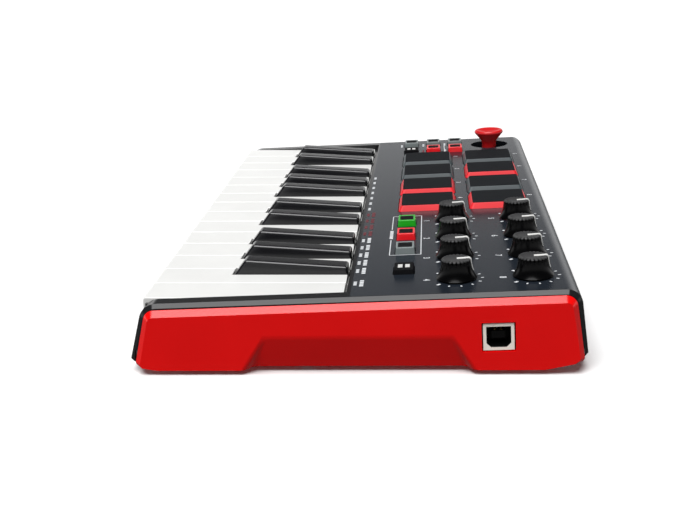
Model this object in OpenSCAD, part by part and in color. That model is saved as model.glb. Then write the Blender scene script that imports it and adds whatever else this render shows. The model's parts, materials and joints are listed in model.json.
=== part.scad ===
// A small USB MIDI keyboard: two octaves of mini keys, pads, buttons, knobs and a thumb joystick.
// +X is the player's right, -Y the player's side, +Z up. The origin is on the table, under the middle.

/* [Case] */
// Overall width, over the two red end walls
case_w = 318; // [314:1:322]
// Overall depth, over the shell's lower edges
case_d = 181; // [180:1:182]
// Height of the rubber feet
foot_h = 2; // [1:0.5:3]
// Height of the panel's top surface above the table, at mid depth
panel_h = 30.9; // [30:0.1:32]
// Rise of the panel towards the back, per millimetre of depth
panel_rise = 0.030; // [0.020:0.005:0.035]
// Thickness of the panel
panel_t = 2.0; // [1.6:0.1:2.2]
// Thickness of the shell's front and rear walls
wall_t = 1.4; // [1.2:0.1:1.5]
// Thickness of the red end walls
end_t = 3.0; // [2.5:0.1:3.2]
// Width of each dark rim beside the keys, with its end chamfer
rim_w = 7.5; // [7:0.1:8]

/* [Keys] */
// Number of white keys, C to C
white_count = 15; // [15]
// Distance from one white key to the next
key_pitch = 19.65; // [19.5:0.05:19.65]
// Gap between neighbouring white keys
key_gap = 0.5; // [0.3:0.1:0.8]
// Front face of the white keys
key_front_y = -85.4; // [-85.5:0.1:-84]
// Height of the white keys' top at the front
key_top_front = 28.8; // [28:0.1:29]
// Height of the white keys' top at the back
key_top_rear = 28.1; // [27.8:0.1:28.2]
// Width of a black key at the white keys' level
black_w = 9.6; // [9:0.1:10]
// Height of the key hinge line above the table
hinge_z = 21; // [20.5:0.1:21.5]
// Distance of the key hinge line behind the middle
hinge_y = 8; // [7:0.5:8]
// Radius of the hinge rod
rod_r = 1.5; // [1:0.1:1.8]
// Radial running clearance of every shaft and pin
run_gap = 0.05; // [0.02:0.01:0.10]

/* [Pads] */
// Distance between pad columns
pad_pitch = 34.3; // [33.5:0.1:35]
// Middle of the right-hand pad column
pad_x = 11.7; // [10:0.1:13]
// Middle of each pad row, front and back
pad_rows = [28.2, 63.3];
// Size of a pad's top face, across and deep
pad_top = [24.4, 25.9];
// Flare of the pad's skirt, per side
pad_flare = 1.4; // [1:0.1:1.6]
// Height of the pads above the panel
pad_h = 3.0; // [2.5:0.1:3.5]

/* [Buttons] */
// Size of a button cap, across and deep
button_size = [10.8, 8.5];
// Height of a lit button cap above the panel
button_h = 2.9; // [2:0.1:3.2]
// Height of a plain black button cap above the panel
plain_button_h = 2.0; // [1.5:0.1:2.5]

/* [Knobs] */
// Distance between knob columns
knob_pitch = 30.5; // [29:0.1:31]
// Middle of the left-hand knob column
knob_x = 44; // [43:0.1:45]
// Middle of each knob row, front and back
knob_rows = [39.9, 70.4];
// Radius of the knob's flared foot
knob_r = 8.2; // [8:0.1:8.5]
// Radius of the knob's cap
knob_cap_r = 6.0; // [5.5:0.1:6.5]
// Height of the knob's top above the panel
knob_h = 8.5; // [8:0.1:9]

/* [Joystick] */
// Middle of the joystick
stick_pos = [-134, 66.4];
// Radius of the well that the stick stands in
well_r = 11.25; // [11:0.05:11.5]
// Radius of the thumb cap
thumb_r = 8.7; // [8:0.1:9]
// Height of the thumb cap's rim above the panel
thumb_h = 9.2; // [8.5:0.1:10]

/* [Hidden] */
$fn = 48;
eps = 0.01;
half_w = case_w / 2;
half_d = case_d / 2;
base_z = foot_h;
panel_tilt = atan(panel_rise);

// X stations at each end: shell top edge, shell end face, red wall's inner face
shell_top_x = half_w - 4.9;
shell_end_x = half_w - 3.5;
red_in_x = half_w - end_t;
bay_x = shell_end_x - rim_w;

// The key bay ends here, where the panel's front edge begins
panel_front_y = -2.7;
lip_z = 17;
// A lower lip runs on from the panel's front edge over the keys' tails
tail_lip_y = -4.7;
tail_lip_z = 28.4;
key_back_y = -5.3;
keys_right_x = white_count * key_pitch / 2;
black_front_y = -53.2;

// Depths below the panel's surface, shared by the controls and the board
board_h = 9;
board_t = 1.6;
flange_t = 1.0;
hinge_drop = 7;
gimbal_r = 8.8;
spindle_r = 3;

// Buttons: middle of each, and whether it is a plain black one
left_button_xs = [-139, -120];
left_button_ys = [45.1, 31.8, 18.3];
right_button_xs = [47.9, 71.2, 93.6, 122.3];
right_button_y = 18.5;
buttons = concat(
    [for (y = left_button_ys) for (x = left_button_xs) [x, y, x == left_button_xs[1] && y == left_button_ys[2]]],
    [for (x = right_button_xs) [x, right_button_y, x == right_button_xs[3]]]
);
pads = [for (y = pad_rows) for (i = [0:3]) [pad_x - (3 - i) * pad_pitch, y]];
knobs = [for (y = knob_rows) for (i = [0:3]) [knob_x + i * knob_pitch, y]];

// Screws, feet and the standoffs that hold the control board
side_screw_x = bay_x + 2.8;
screws = concat(
    [for (s = [-1, 1]) for (y = [-72, -20]) [s * side_screw_x, y]],
    [for (x = [-150.5, -50, 50, 150.5]) [x, 83]]
);
screw_r = 1.3;
feet = [for (s = [-1, 1]) for (y = [-68, 66]) [s * 140, y]];
standoffs = [
    [-126.5, 55], [-74, 45.8], [-5.4, 45.8], [59.25, 55.2], [120.25, 55.2], [30, 19], [-110, 20]
];

// Outlines of the end view as [y, z, corner radius], front to back over the top
front_lean = 0.267;
rear_lean = 0.132;
shell_corners = [
    [-half_d + 1.5, 4.2, 0.5], [-half_d, 5.6, 0.8], [-84.2, 28.37, 7.5],
    [87.1, 33.5, 6.1], [half_d, 7.4, 0.8], [half_d - 1.8, 5.5, 0.5]
];
red_corners = [
    [-84.5, base_z, 4], [-88.2, 3.9, 1.6], [-82.8, 26.3, 4.4],
    [85.1, 31.7, 4.7], [89, 5, 2], [83.5, 2.6, 4], [76, base_z, 4]
];
// The end wall's outer face stands in from that outline at the sides and top, but hardly at the bottom
red_rim = inset(red_corners, 2.1);
red_face_corners = [
    [-79, base_z + 0.1, 5], [-86, 3.3, 1.5], red_rim[2],
    red_rim[3], [87, 6.2, 1.5], [85, 4.5, 2], [73.5, base_z + 0.1, 6]
];
// The tray between the end walls stands in from their outline by this much
tray_step = 0.35;

// Black keys: the white key on whose right each stands (0 is C), and its shift off the seam
octave_blacks = [[0, -2.05], [1, 2.05], [3, -3.37], [4, 0], [5, 3.37]];
blacks = [for (octave = [0:1]) for (b = octave_blacks) [b[0] + 7 * octave, b[1]]];

// ---- helpers ----

function panel_z(y) = panel_h + panel_rise * y;
function unit(v) = v / norm(v);
function turn(v) = [v[1], -v[0]];
function at(list, i) = list[(i + len(list)) % len(list)];
function flat(p) = [p[0], p[1]];

// A convex outline moved inwards by d, given clockwise as [y, z, radius] corners
function inset(c, d) = [
    for (i = [0:len(c) - 1])
        let (
            n1 = turn(unit(flat(c[i]) - flat(at(c, i - 1)))),
            n2 = turn(unit(flat(at(c, i + 1)) - flat(c[i]))),
            p = flat(c[i]) + (n1 + n2) * d / (1 + n1 * n2)
        )
        [p[0], p[1], max(c[i][2] - d, 0.3)]
];

// The same outline as points, each corner rounded by its own radius
function rounded(c, steps = 8) = [
    for (i = [0:len(c) - 1])
        let (
            a = unit(flat(at(c, i - 1)) - flat(c[i])),
            b = unit(flat(at(c, i + 1)) - flat(c[i])),
            half = acos(a * b) / 2,
            middle = flat(c[i]) + unit(a + b) * c[i][2] / sin(half),
            from = flat(c[i]) + a * c[i][2] / tan(half) - middle,
            to = flat(c[i]) + b * c[i][2] / tan(half) - middle
        )
        for (k = [0:steps])
            let (v = unit(from * (steps - k) + to * k))
            middle + v * c[i][2]
];

// Extrudes a [y, z] outline along X, from x0 to x1
module along_x(x0, x1) {
    translate([x0, 0, 0])
        rotate([90, 0, 90])
            linear_extrude(x1 - x0)
                children();
}

// Places a control on the panel: Z is then the panel's normal, and 0 its surface
module on_panel(p) {
    translate([p[0], p[1], panel_z(p[1])])
        rotate([panel_tilt, 0, 0])
            children();
}

module box(size, z0, z1) {
    translate([-size[0] / 2, -size[1] / 2, z0])
        cube([size[0], size[1], z1 - z0]);
}

// A block whose four sides lean in by flare from its foot to its top
module tapered_block(top, flare, h) {
    foot = [top[0] + 2 * flare, top[1] + 2 * flare];
    intersection() {
        translate([0, foot[1] / 2, 0])
            rotate([90, 0, 0])
                linear_extrude(foot[1])
                    polygon([[-foot[0] / 2, 0], [foot[0] / 2, 0], [top[0] / 2, h], [-top[0] / 2, h]]);
        translate([-foot[0] / 2, 0, 0])
            rotate([90, 0, 90])
                linear_extrude(foot[0])
                    polygon([[-foot[1] / 2, 0], [foot[1] / 2, 0], [top[1] / 2, h], [-top[1] / 2, h]]);
    }
}

module both_ends() {
    children();
    mirror([1, 0, 0])
        children();
}

// ---- top case ----

// The hollow under the shell, open below
module shell_hollow() {
    c = shell_corners;
    top = panel_h - panel_t;
    front_y = c[2][0] + wall_t;
    rear_y = c[3][0] - wall_t;
    along_x(-shell_end_x + 2, shell_end_x - 2)
        polygon([
            [front_y - front_lean * (c[2][1] + 1), -1],
            [front_y - front_lean * 2.4, c[2][1] - 2.4],
            [front_y + 2.4, top + panel_rise * (front_y + 2.4)],
            [rear_y - 4, top + panel_rise * (rear_y - 4)],
            [rear_y + rear_lean * 4, c[3][1] - 4],
            [rear_y + rear_lean * (c[3][1] + 1), -1]
        ]);
}

module shell_body() {
    along_x(-shell_top_x, shell_top_x)
        polygon(rounded(shell_corners));
    both_ends()
        hull() {
            along_x(shell_top_x - eps, shell_top_x)
                polygon(rounded(shell_corners));
            along_x(shell_end_x - eps, shell_end_x)
                polygon(rounded(inset(shell_corners, 1.6)));
        }
}

// Opening for the keys: everything above the lip, between the two rims
module key_bay() {
    translate([-bay_x, -half_d - 1, lip_z])
        cube([2 * bay_x, half_d + 1 + panel_front_y, 30]);
}

module panel_holes() {
    hole = 0.3;
    for (p = pads)
        on_panel(p)
            box([pad_top[0] + 2 * (pad_flare + hole), pad_top[1] + 2 * (pad_flare + hole)], -6, 3);
    for (b = buttons)
        on_panel(b)
            box([button_size[0] + 2 * hole, button_size[1] + 2 * hole], -6, 3);
    for (k = knobs)
        on_panel(k)
            translate([0, 0, -6])
                cylinder(r = spindle_r + 0.6, h = 9);
    on_panel(stick_pos)
        translate([0, 0, -6])
            cylinder(r = well_r, h = 9);
}

module top_case() {
    color("#3a3d40")
    difference() {
        union() {
            difference() {
                shell_body();
                shell_hollow();
                key_bay();
            }
            // inner walls of the two rims
            both_ends()
                translate([bay_x, 0, 0])
                    along_x(0, 1.6)
                        polygon([[-85, 10], [-84, 27], [panel_front_y + 1.6, 29.5], [panel_front_y + 1.6, 10]]);
            // rib that stiffens the panel's front edge, and the lip that hides the keys' tails
            along_x(-bay_x - 1, bay_x + 1)
                polygon([
                    [panel_front_y + 1.6, tail_lip_z - 2], [tail_lip_y, tail_lip_z - 2],
                    [tail_lip_y, tail_lip_z - 0.5], [tail_lip_y + 0.5, tail_lip_z],
                    [panel_front_y, tail_lip_z], [panel_front_y, 29.8], [panel_front_y + 1.6, 29.8]
                ]);
            // screw bosses
            for (s = screws)
                translate([s[0], s[1], 6])
                    cylinder(r = 2.6, h = panel_z(s[1]) - 9);
            // standoffs for the control board
            for (s = standoffs)
                on_panel(s)
                    translate([0, 0, -board_h])
                        cylinder(r = 1.8, h = board_h - 1);
            on_panel(stick_pos)
                translate([0, 0, -3.6])
                    cylinder(r = well_r + 1.4, h = 3);
        }
        panel_holes();
        // screw holes, blind from below
        for (s = screws)
            translate([s[0], s[1], 0])
                cylinder(r = screw_r + run_gap, h = 16.2);
        // the end skirts stop above the red case's scoops and clear of its tray
        both_ends() {
            translate([shell_end_x - 2.2, -83, -1])
                cube([5, 166, 20]);
            translate([shell_end_x - 2.2, -88.1, -1])
                cube([5, 177, 10.5]);
        }
        on_panel([shell_end_x, 54.96])
            translate([-4, -7, -24])
                cube([8, 14, 15]);
    }
}

// ---- bottom case ----

// The trapezoid hollow pressed into the lower half of an end wall; its sides slope inwards
module scoop() {
    top_z = 15.8;
    deep = 4.4;
    run = top_z - base_z;
    side_slope = 4;
    translate([half_w, 1, 0])
        intersection() {
            rotate([90, 0, 0])
                translate([0, 0, -60])
                    linear_extrude(120)
                        polygon([
                            [1, top_z], [0, top_z], [-deep, base_z], [-deep - deep / run, base_z - 1],
                            [1, base_z - 1]
                        ]);
            hull() {
                along_x(0, 1)
                    polygon([[-36, top_z + 1], [36, top_z + 1], [46, base_z - 1], [-46, base_z - 1]]);
                along_x(-deep - 1, -deep)
                    polygon([
                        [-36 + side_slope, top_z + 1], [36 - side_slope, top_z + 1],
                        [46 - side_slope, base_z - 1], [-46 + side_slope, base_z - 1]
                    ]);
            }
        }
}

module end_wall() {
    hull() {
        along_x(red_in_x, red_in_x + 0.2)
            polygon(rounded(red_corners));
        along_x(half_w - eps, half_w)
            polygon(rounded(red_face_corners));
    }
}

module tray() {
    outer = inset(red_corners, tray_step);
    difference() {
        along_x(-red_in_x, red_in_x)
            polygon(rounded(outer));
        along_x(-red_in_x - 1, red_in_x + 1)
            polygon(rounded(inset(outer, 1.9)));
        translate([-case_w, -case_d, 8.5])
            cube([2 * case_w, 2 * case_d, 50]);
    }
}

module bottom_case() {
    socket_gap = 0.5;
    color("#c8120f")
    difference() {
        union() {
            tray();
            both_ends() {
                end_wall();
                // backs the scoop from inside
                translate([red_in_x - 2.4, -47, base_z + 1])
                    cube([2.5, 94, 9]);
            }
            for (s = screws)
                translate([s[0], s[1], base_z + 0.6])
                    cylinder(r = 2.6, h = 3.2);
        }
        both_ends()
            scoop();
        for (s = screws) {
            translate([s[0], s[1], -1])
                cylinder(r = screw_r + 0.25, h = 12);
            translate([s[0], s[1], -1])
                cylinder(r = 2.2, h = base_z + 2.4);
        }
        on_panel([half_w, 54.96])
            translate([-end_t - 5, -6 - socket_gap, -22.3 - socket_gap])
                cube([end_t + 10, 12 + 2 * socket_gap, 10.9 + 2 * socket_gap]);
    }
}

module rubber_feet() {
    color("#1c1c1c")
    for (f = feet)
        translate([f[0], f[1], 0])
            cylinder(r = 6, h = foot_h + tray_step);
}

module case_screws() {
    color("#8c8f92")
    for (s = screws)
        translate([s[0], s[1], base_z + 0.5]) {
            difference() {
                cylinder(r = 2.1, h = 0.9);
                box([2.4, 0.5], -1, 0.5);
                box([0.5, 2.4], -1, 0.5);
            }
            cylinder(r = screw_r, h = 13);
        }
}

// ---- keys ----

function seam_x(i) = i * key_pitch - keys_right_x;
function black_x(b) = seam_x(b[0] + 1) + b[1];

// Middle of the part of a white key that runs between the black ones
function tail_x(i) = let (
        edges = [for (b = blacks) for (s = [-1, 1]) black_x(b) + s * black_w / 2],
        left = max([for (e = concat([seam_x(i)], edges)) if (e < seam_x(i) + key_pitch / 2 - 1) e]),
        right = min([for (e = concat([seam_x(i + 1)], edges)) if (e > seam_x(i) + key_pitch / 2 + 1) e])
    ) (left + right) / 2;

// Plan of a white key with its notches, drawn smaller by d for the hollow inside
module white_plan(i, d) {
    difference() {
        translate([seam_x(i) + key_gap / 2 + d, key_front_y + d])
            square([key_pitch - key_gap - 2 * d, key_back_y - key_front_y - 2 * d]);
        for (b = blacks)
            translate([black_x(b) - black_w / 2 - key_gap - d, black_front_y - 1 - d])
                square([black_w + 2 * key_gap + 2 * d, 60 + d]);
    }
}

// The eye at the back of a key, on the hinge rod, with the tail that carries it
module key_eye(x, w) {
    difference() {
        translate([x - w / 2, 0, 0])
            along_x(0, w)
                union() {
                    translate([hinge_y, hinge_z])
                        circle(r = 3.2);
                    polygon([
                        [key_back_y - 1.4, 19], [key_back_y - 1.4, 25],
                        [hinge_y, hinge_z + 3.2], [hinge_y, hinge_z - 3.2]
                    ]);
                }
        translate([x - w, hinge_y, hinge_z])
            rotate([0, 90, 0])
                cylinder(r = rod_r + run_gap, h = 2 * w);
    }
}

module white_key(n) {
    i = n - 1;
    t = 1.3;
    color("#f4f4f1") {
        difference() {
            intersection() {
                linear_extrude(60)
                    white_plan(i, 0);
                along_x(-case_w, case_w)
                    polygon([
                        [key_front_y, 15.8], [key_front_y, key_top_front], [key_back_y, key_top_rear],
                        [key_back_y, 19], [key_front_y + 3, 19], [key_front_y + 1.6, 15.8]
                    ]);
            }
            intersection() {
                linear_extrude(60)
                    white_plan(i, t);
                along_x(-case_w, case_w)
                    polygon([
                        [key_front_y, 0], [key_front_y, key_top_front - 2],
                        [key_back_y, key_top_rear - 2], [key_back_y, 0]
                    ]);
            }
        }
        key_eye(tail_x(i), 7);
        // plunger over the contact dome
        translate([tail_x(i), -25, 0])
            box([4, 4], 19, key_top_rear - 1);
    }
}

module black_key(n) {
    x = black_x(blacks[n - 1]);
    top = 8.2;
    hollow = black_w / 2 - 1.4;
    color("#16171a") {
        difference() {
            intersection() {
                along_x(x - black_w / 2, x + black_w / 2)
                    polygon([
                        [black_front_y, 22], [black_front_y, 28.6], [-48.7, 34.4],
                        [key_back_y, 31.2], [key_back_y, 19], [black_front_y + 3, 19]
                    ]);
                translate([x, 0, 0])
                    rotate([90, 0, 0])
                        linear_extrude(60)
                            polygon([
                                [-black_w / 2, 10], [black_w / 2, 10], [black_w / 2, 28.5],
                                [top / 2, 34.4], [-top / 2, 34.4], [-black_w / 2, 28.5]
                            ]);
            }
            translate([x - hollow, black_front_y + 5, 0])
                cube([2 * hollow, 40, 27]);
        }
        key_eye(x, 4);
        translate([x, -25, 0])
            box([4, 4], 19, 28);
    }
}

// Comb under the keys: base plate, stop rails, hinge rod and the ribs that hold it
module key_frame() {
    rib_xs = concat(
        [-keys_right_x + 1.2, keys_right_x - 1.2],
        [for (i = [3, 7, 10, 14]) seam_x(i)]
    );
    color("#4b4f55")
    union() {
        translate([-keys_right_x, -80, 7.5])
            cube([2 * keys_right_x, 94, 1.5]);
        translate([-keys_right_x, -72, 8])
            cube([2 * keys_right_x, 10, 7.2]);
        translate([-keys_right_x, -46, 8])
            cube([2 * keys_right_x, 6, 7.4]);
        for (x = rib_xs)
            translate([x - 1, 0, 0])
                along_x(0, 2)
                    polygon([[2, 8], [hinge_y - 3, hinge_z + 2.5], [hinge_y + 3, hinge_z + 2.5], [12, 8]]);
        translate([-keys_right_x + 0.8, hinge_y, hinge_z])
            rotate([0, 90, 0])
                cylinder(r = rod_r, h = 2 * keys_right_x - 1.6);
        for (x = [-120, 0, 120])
            for (y = [-74, 4])
                translate([x, y, base_z + 2.3])
                    cylinder(r = 4, h = 4);
    }
}

// ---- electronics ----

module joystick_posts() {
    post_t = 2.4;
    for (s = [-1, 1])
        translate([0, s * (well_r + 0.4), 0])
            difference() {
                box([7, post_t], -board_h - eps, -hinge_drop + 2.6);
                translate([0, 3, -hinge_drop])
                    rotate([90, 0, 0])
                        cylinder(r = 1.2 + run_gap, h = 6);
            }
}

module control_board() {
    on_panel([0, 0]) {
        difference() {
            translate([-shell_end_x + 6, 14.3, -board_h - board_t])
                cube([2 * shell_end_x - 12, 64.5, board_t]);
            translate([stick_pos[0], stick_pos[1], -board_h - 3])
                cylinder(r = 9.9, h = 6);
        }
    }
    for (k = knobs)
        on_panel(k)
            difference() {
                box([9.6, 11], -board_h - eps, -panel_t - 0.6);
                translate([0, 0, -board_h + 1.2])
                    cylinder(r = spindle_r + run_gap, h = 10);
            }
    for (b = buttons)
        on_panel(b) {
            box([6, 6], -board_h - eps, -5.6);
            translate([0, 0, -5.7])
                cylinder(r = 1.6, h = 0.7);
        }
    for (p = pads)
        on_panel(p)
            box([22, 23], -board_h - eps, -4.9);
    on_panel(stick_pos)
        joystick_posts();
}

module key_board() {
    translate([-keys_right_x + 3, -36, 9])
        cube([2 * keys_right_x - 6, 22, 1.6]);
    for (x = concat([for (i = [0:white_count - 1]) tail_x(i)], [for (b = blacks) black_x(b)]))
        translate([x, -25, 10.5])
            cylinder(r1 = 3.4, r2 = 2, h = 6.1);
}

// Small board that carries the socket, parallel to the panel
module socket_board() {
    on_panel([half_w, 54.96])
        translate([-24, -11, -22.3 - board_t])
            cube([17.5, 22, board_t]);
    on_panel([half_w - 14, 54.96])
        translate([0, -9, -27.6])
            cylinder(r = 1.8, h = 4);
}

module circuit_boards() {
    color("#1f5c3a") {
        control_board();
        key_board();
        socket_board();
    }
}

// Square data socket: metal shell, bevelled at its two lower inner corners, with a tongue inside
module usb_socket() {
    outer = [12, 10.9];
    mouth = [8.6, 7.9];
    depth = 16;
    color("#c9ccd0")
    on_panel([half_w - 0.6, 54.96])
        translate([-depth, 0, -22.3])
            difference() {
                translate([0, -outer[0] / 2, 0])
                    cube([depth, outer[0], outer[1]]);
                difference() {
                    translate([6.5, 0, 1.5])
                        along_x(0, 10)
                            polygon([
                                [-mouth[0] / 2, 1.6], [-mouth[0] / 2, mouth[1]], [mouth[0] / 2, mouth[1]],
                                [mouth[0] / 2, 1.6], [mouth[0] / 2 - 1.6, 0], [-mouth[0] / 2 + 1.6, 0]
                            ]);
                    translate([6, -2.8, 4])
                        cube([9, 5.6, 3.2]);
                }
            }
}

// ---- controls ----

module pad() {
    foot = [pad_top[0] + 2 * pad_flare, pad_top[1] + 2 * pad_flare];
    tapered_block(pad_top, pad_flare, pad_h);
    box(foot, -3.6, eps);
    box([foot[0] + 3, foot[1] + 3], -3.6, -3.6 + flange_t);
}

module drum_pad(n) {
    color("#2f3133")
    on_panel(pads[n - 1])
        pad();
}

module button(n) {
    b = buttons[n - 1];
    h = b[2] ? plain_button_h : button_h;
    color(b[2] ? "#242628" : "#7d8488")
    on_panel(b) {
        tapered_block([button_size[0] - 0.6, button_size[1] - 0.6], 0.3, h);
        box(button_size, -3.4, eps);
        box([button_size[0] + 2, button_size[1] + 2], -3.4, -2.5);
        translate([0, 0, -4.4])
            cylinder(r = 1.5, h = 1.1);
    }
}

module knob(n) {
    foot_z = 0.6;
    shoulder = 4.6;
    reach = knob_r - knob_cap_r;
    color("#1d1e20")
    on_panel(knobs[n - 1])
        rotate_extrude()
            polygon(concat(
                [[0, -board_h + 1.5], [spindle_r, -board_h + 1.5], [spindle_r, foot_z], [knob_r, foot_z]],
                [for (a = [0:15:90])
                    [knob_r - reach * sin(a), foot_z + 0.5 + (shoulder - foot_z - 0.5) * (1 - cos(a))]],
                [[knob_cap_r, knob_h - 0.4], [knob_cap_r - 0.4, knob_h], [knob_cap_r - 1, knob_h],
                 [knob_cap_r - 1.4, knob_h - 0.3], [0, knob_h - 0.3]]
            ));
}

// Ring of the joystick's crossed hinges: it rocks left and right on the posts
module joystick_gimbal() {
    color("#5a5d61")
    on_panel(stick_pos)
        translate([0, 0, -hinge_drop]) {
            difference() {
                translate([0, 0, -2])
                    cylinder(r = gimbal_r, h = 4);
                translate([0, 0, -3])
                    cylinder(r = 6.6, h = 6);
                translate([-10, 0, 0])
                    rotate([0, 90, 0])
                        cylinder(r = 1.2 + run_gap, h = 20);
            }
            for (s = [0, 180])
                rotate([0, 0, s])
                    translate([0, gimbal_r - 1, 0])
                        rotate([-90, 0, 0])
                            cylinder(r = 1.2, h = 4.6);
        }
}

// Stem and thumb cap: they rock forwards and back in the ring
module joystick_stick() {
    neck_r = 4.3;
    color("#c8120f")
    on_panel(stick_pos) {
        rotate_extrude()
            polygon([
                [0, -hinge_drop - 2.2], [3, -hinge_drop - 2.2], [3, -3.5], [neck_r, -2.5],
                [neck_r, 1.2], [5, 2.8], [thumb_r - 0.4, thumb_h - 2.4], [thumb_r, thumb_h - 1.6],
                [thumb_r - 0.3, thumb_h - 0.4], [thumb_r - 1, thumb_h],
                [thumb_r - 1.8, thumb_h - 0.1], [4, thumb_h - 0.9], [0, thumb_h - 1.2]
            ]);
        translate([-gimbal_r + 0.6, 0, -hinge_drop])
            rotate([0, 90, 0])
                cylinder(r = 1.2, h = 2 * (gimbal_r - 0.6));
    }
}

top_case();
bottom_case();
rubber_feet();
case_screws();
circuit_boards();
usb_socket();
key_frame();
for (i = [1:white_count]) white_key(i);
for (i = [1:len(blacks)]) black_key(i);
for (i = [1:len(pads)]) drum_pad(i);
for (i = [1:len(buttons)]) button(i);
for (i = [1:len(knobs)]) knob(i);
joystick_gimbal();
joystick_stick();
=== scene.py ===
# %% [markdown]
# # A small USB keyboard, piece by piece
# The object is a portable music keyboard: two octaves of small keys in front, a sloping dark panel with
# pads, buttons, knobs and a thumb joystick behind them, and a glossy red case around it all.
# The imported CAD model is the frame: it says where every part is and how it moves. Each cell below
# gives one piece or one finish the shape and surface that the real one has.

# %% Load the frame
import json
import math
import bmesh
import bpy
from mathutils import Matrix, Vector


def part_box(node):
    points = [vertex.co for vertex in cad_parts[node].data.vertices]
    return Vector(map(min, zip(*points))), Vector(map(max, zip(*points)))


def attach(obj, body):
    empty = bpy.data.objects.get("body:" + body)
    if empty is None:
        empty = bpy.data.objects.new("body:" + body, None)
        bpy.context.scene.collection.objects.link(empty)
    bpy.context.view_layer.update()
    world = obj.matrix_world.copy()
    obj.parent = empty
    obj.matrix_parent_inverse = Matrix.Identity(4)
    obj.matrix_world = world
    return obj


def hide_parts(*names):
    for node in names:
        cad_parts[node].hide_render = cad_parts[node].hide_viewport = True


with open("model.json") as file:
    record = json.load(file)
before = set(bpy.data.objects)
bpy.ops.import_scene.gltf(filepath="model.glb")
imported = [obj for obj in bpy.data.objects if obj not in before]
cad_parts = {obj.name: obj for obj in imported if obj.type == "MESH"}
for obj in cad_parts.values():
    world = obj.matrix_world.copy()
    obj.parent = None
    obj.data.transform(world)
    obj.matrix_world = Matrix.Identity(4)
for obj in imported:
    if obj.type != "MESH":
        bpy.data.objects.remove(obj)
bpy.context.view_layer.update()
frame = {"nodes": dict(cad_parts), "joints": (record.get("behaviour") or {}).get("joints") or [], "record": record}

# %% [markdown]
# ## Units and the sloping panel
# Blender works in metres, and a keyboard is easier to think about in millimetres, so every size below
# is written in millimetres and multiplied by MM. The panel rises towards the back, and the controls
# stand square to it. The knobs turn on axes that are square to the panel too, so the frame's own joints
# say where the panel is and how it leans.

# %% Units and the panel's place
MM = 0.001
joints = {joint["name"]: joint for joint in frame["joints"]}
PANEL_UP = Vector(joints["knob_1_turn"]["axis"]).normalized()
PANEL_POINT = Vector(joints["knob_1_turn"]["pos_m"])
PANEL_TILT = math.atan2(-PANEL_UP.y, PANEL_UP.z)


def panel_place(x, y):
    """A matrix that stands a piece on the panel at x, y, with its Z square to the surface."""
    rise = (y - PANEL_POINT.y) * math.tan(PANEL_TILT)
    return Matrix.Translation((x, y, PANEL_POINT.z + rise)) @ Matrix.Rotation(PANEL_TILT, 4, "X")


def place_over(node):
    """The same, under the middle of a control's CAD node."""
    low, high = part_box(node)
    centre = (Vector(low) + Vector(high)) / 2
    foot = centre - PANEL_UP * (centre - PANEL_POINT).dot(PANEL_UP)
    return panel_place(foot.x, foot.y)


print("panel tilt, degrees:", round(math.degrees(PANEL_TILT), 2))

# %% [markdown]
# ## The camera
# The view is from the player's right, a little above the table, along the whole length of the case.
# A long case seen end on shows its perspective strongly, so the camera's place matters more here than
# in most product pictures. It is aimed by three angles: where it points, how far down, and a small roll.

# %% Place the camera
CAMERA_PLACE = Vector((574.2, 29.6, 173.7)) * MM
CAMERA_HEADING = math.radians(4.22)
CAMERA_DOWN = math.radians(17.01)
CAMERA_ROLL = math.radians(-1.745)
FOCAL_LENGTH = 58.9

aim = Vector((
    -math.cos(CAMERA_DOWN) * math.cos(CAMERA_HEADING),
    -math.cos(CAMERA_DOWN) * math.sin(CAMERA_HEADING),
    -math.sin(CAMERA_DOWN),
))
camera_data = bpy.data.cameras.new("studio_camera")
camera_data.lens = FOCAL_LENGTH
camera_data.sensor_width = 36.0
camera_data.clip_start = 0.01
camera = bpy.data.objects.new("studio_camera", camera_data)
camera.rotation_mode = "QUATERNION"
camera.location = CAMERA_PLACE
level = aim.to_track_quat("-Z", "Y")
camera.rotation_quaternion = level @ Matrix.Rotation(CAMERA_ROLL, 3, "Z").to_quaternion()
bpy.context.collection.objects.link(camera)
bpy.context.scene.camera = camera
print("camera looks along", [round(c, 3) for c in aim])

# %% [markdown]
# ## Light and the white table
# The object stands on a plain white table under one large softbox that hangs high on the player's right.
# Polished keys and chamfers mirror it as bright bands. The white wall round the room shows as a band just
# above the horizon, which only faces seen at a very flat angle mirror, so the far keys shine and the near
# panel stays dark. A long way off, the softbox lights both ends of the keyboard alike.

# %% Room: brightness against height
# Pairs of height and brightness, where 0 is straight down, 0.5 the horizon and 1 straight up
ROOM_STEPS = (
    (0.0, 0.15), (0.48, 0.18), (0.50, 1.2), (0.59, 1.1), (0.61, 0.42), (0.635, 0.11), (0.70, 0.06),
)
TABLE_HALF = 6.0
scene = bpy.context.scene
scene.view_settings.view_transform = "Standard"

world = bpy.data.worlds.new("white_room")
world.use_nodes = True
tree = world.node_tree
direction = tree.nodes.new("ShaderNodeTexCoord")
axes = tree.nodes.new("ShaderNodeSeparateXYZ")
halved = tree.nodes.new("ShaderNodeMath")
halved.operation = "MULTIPLY_ADD"
halved.inputs[1].default_value = 0.5
halved.inputs[2].default_value = 0.5
height = tree.nodes.new("ShaderNodeValToRGB")
while len(height.color_ramp.elements) < len(ROOM_STEPS):
    height.color_ramp.elements.new(0.9)
for element, (position, brightness) in zip(height.color_ramp.elements, ROOM_STEPS):
    element.position = position
    element.color = (brightness, brightness, brightness, 1.0)
tree.links.new(direction.outputs["Generated"], axes.inputs["Vector"])
tree.links.new(axes.outputs["Z"], halved.inputs[0])
tree.links.new(halved.outputs[0], height.inputs["Fac"])
tree.links.new(height.outputs["Color"], tree.nodes["Background"].inputs["Color"])
scene.world = world

# %% Lamps and table


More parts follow.
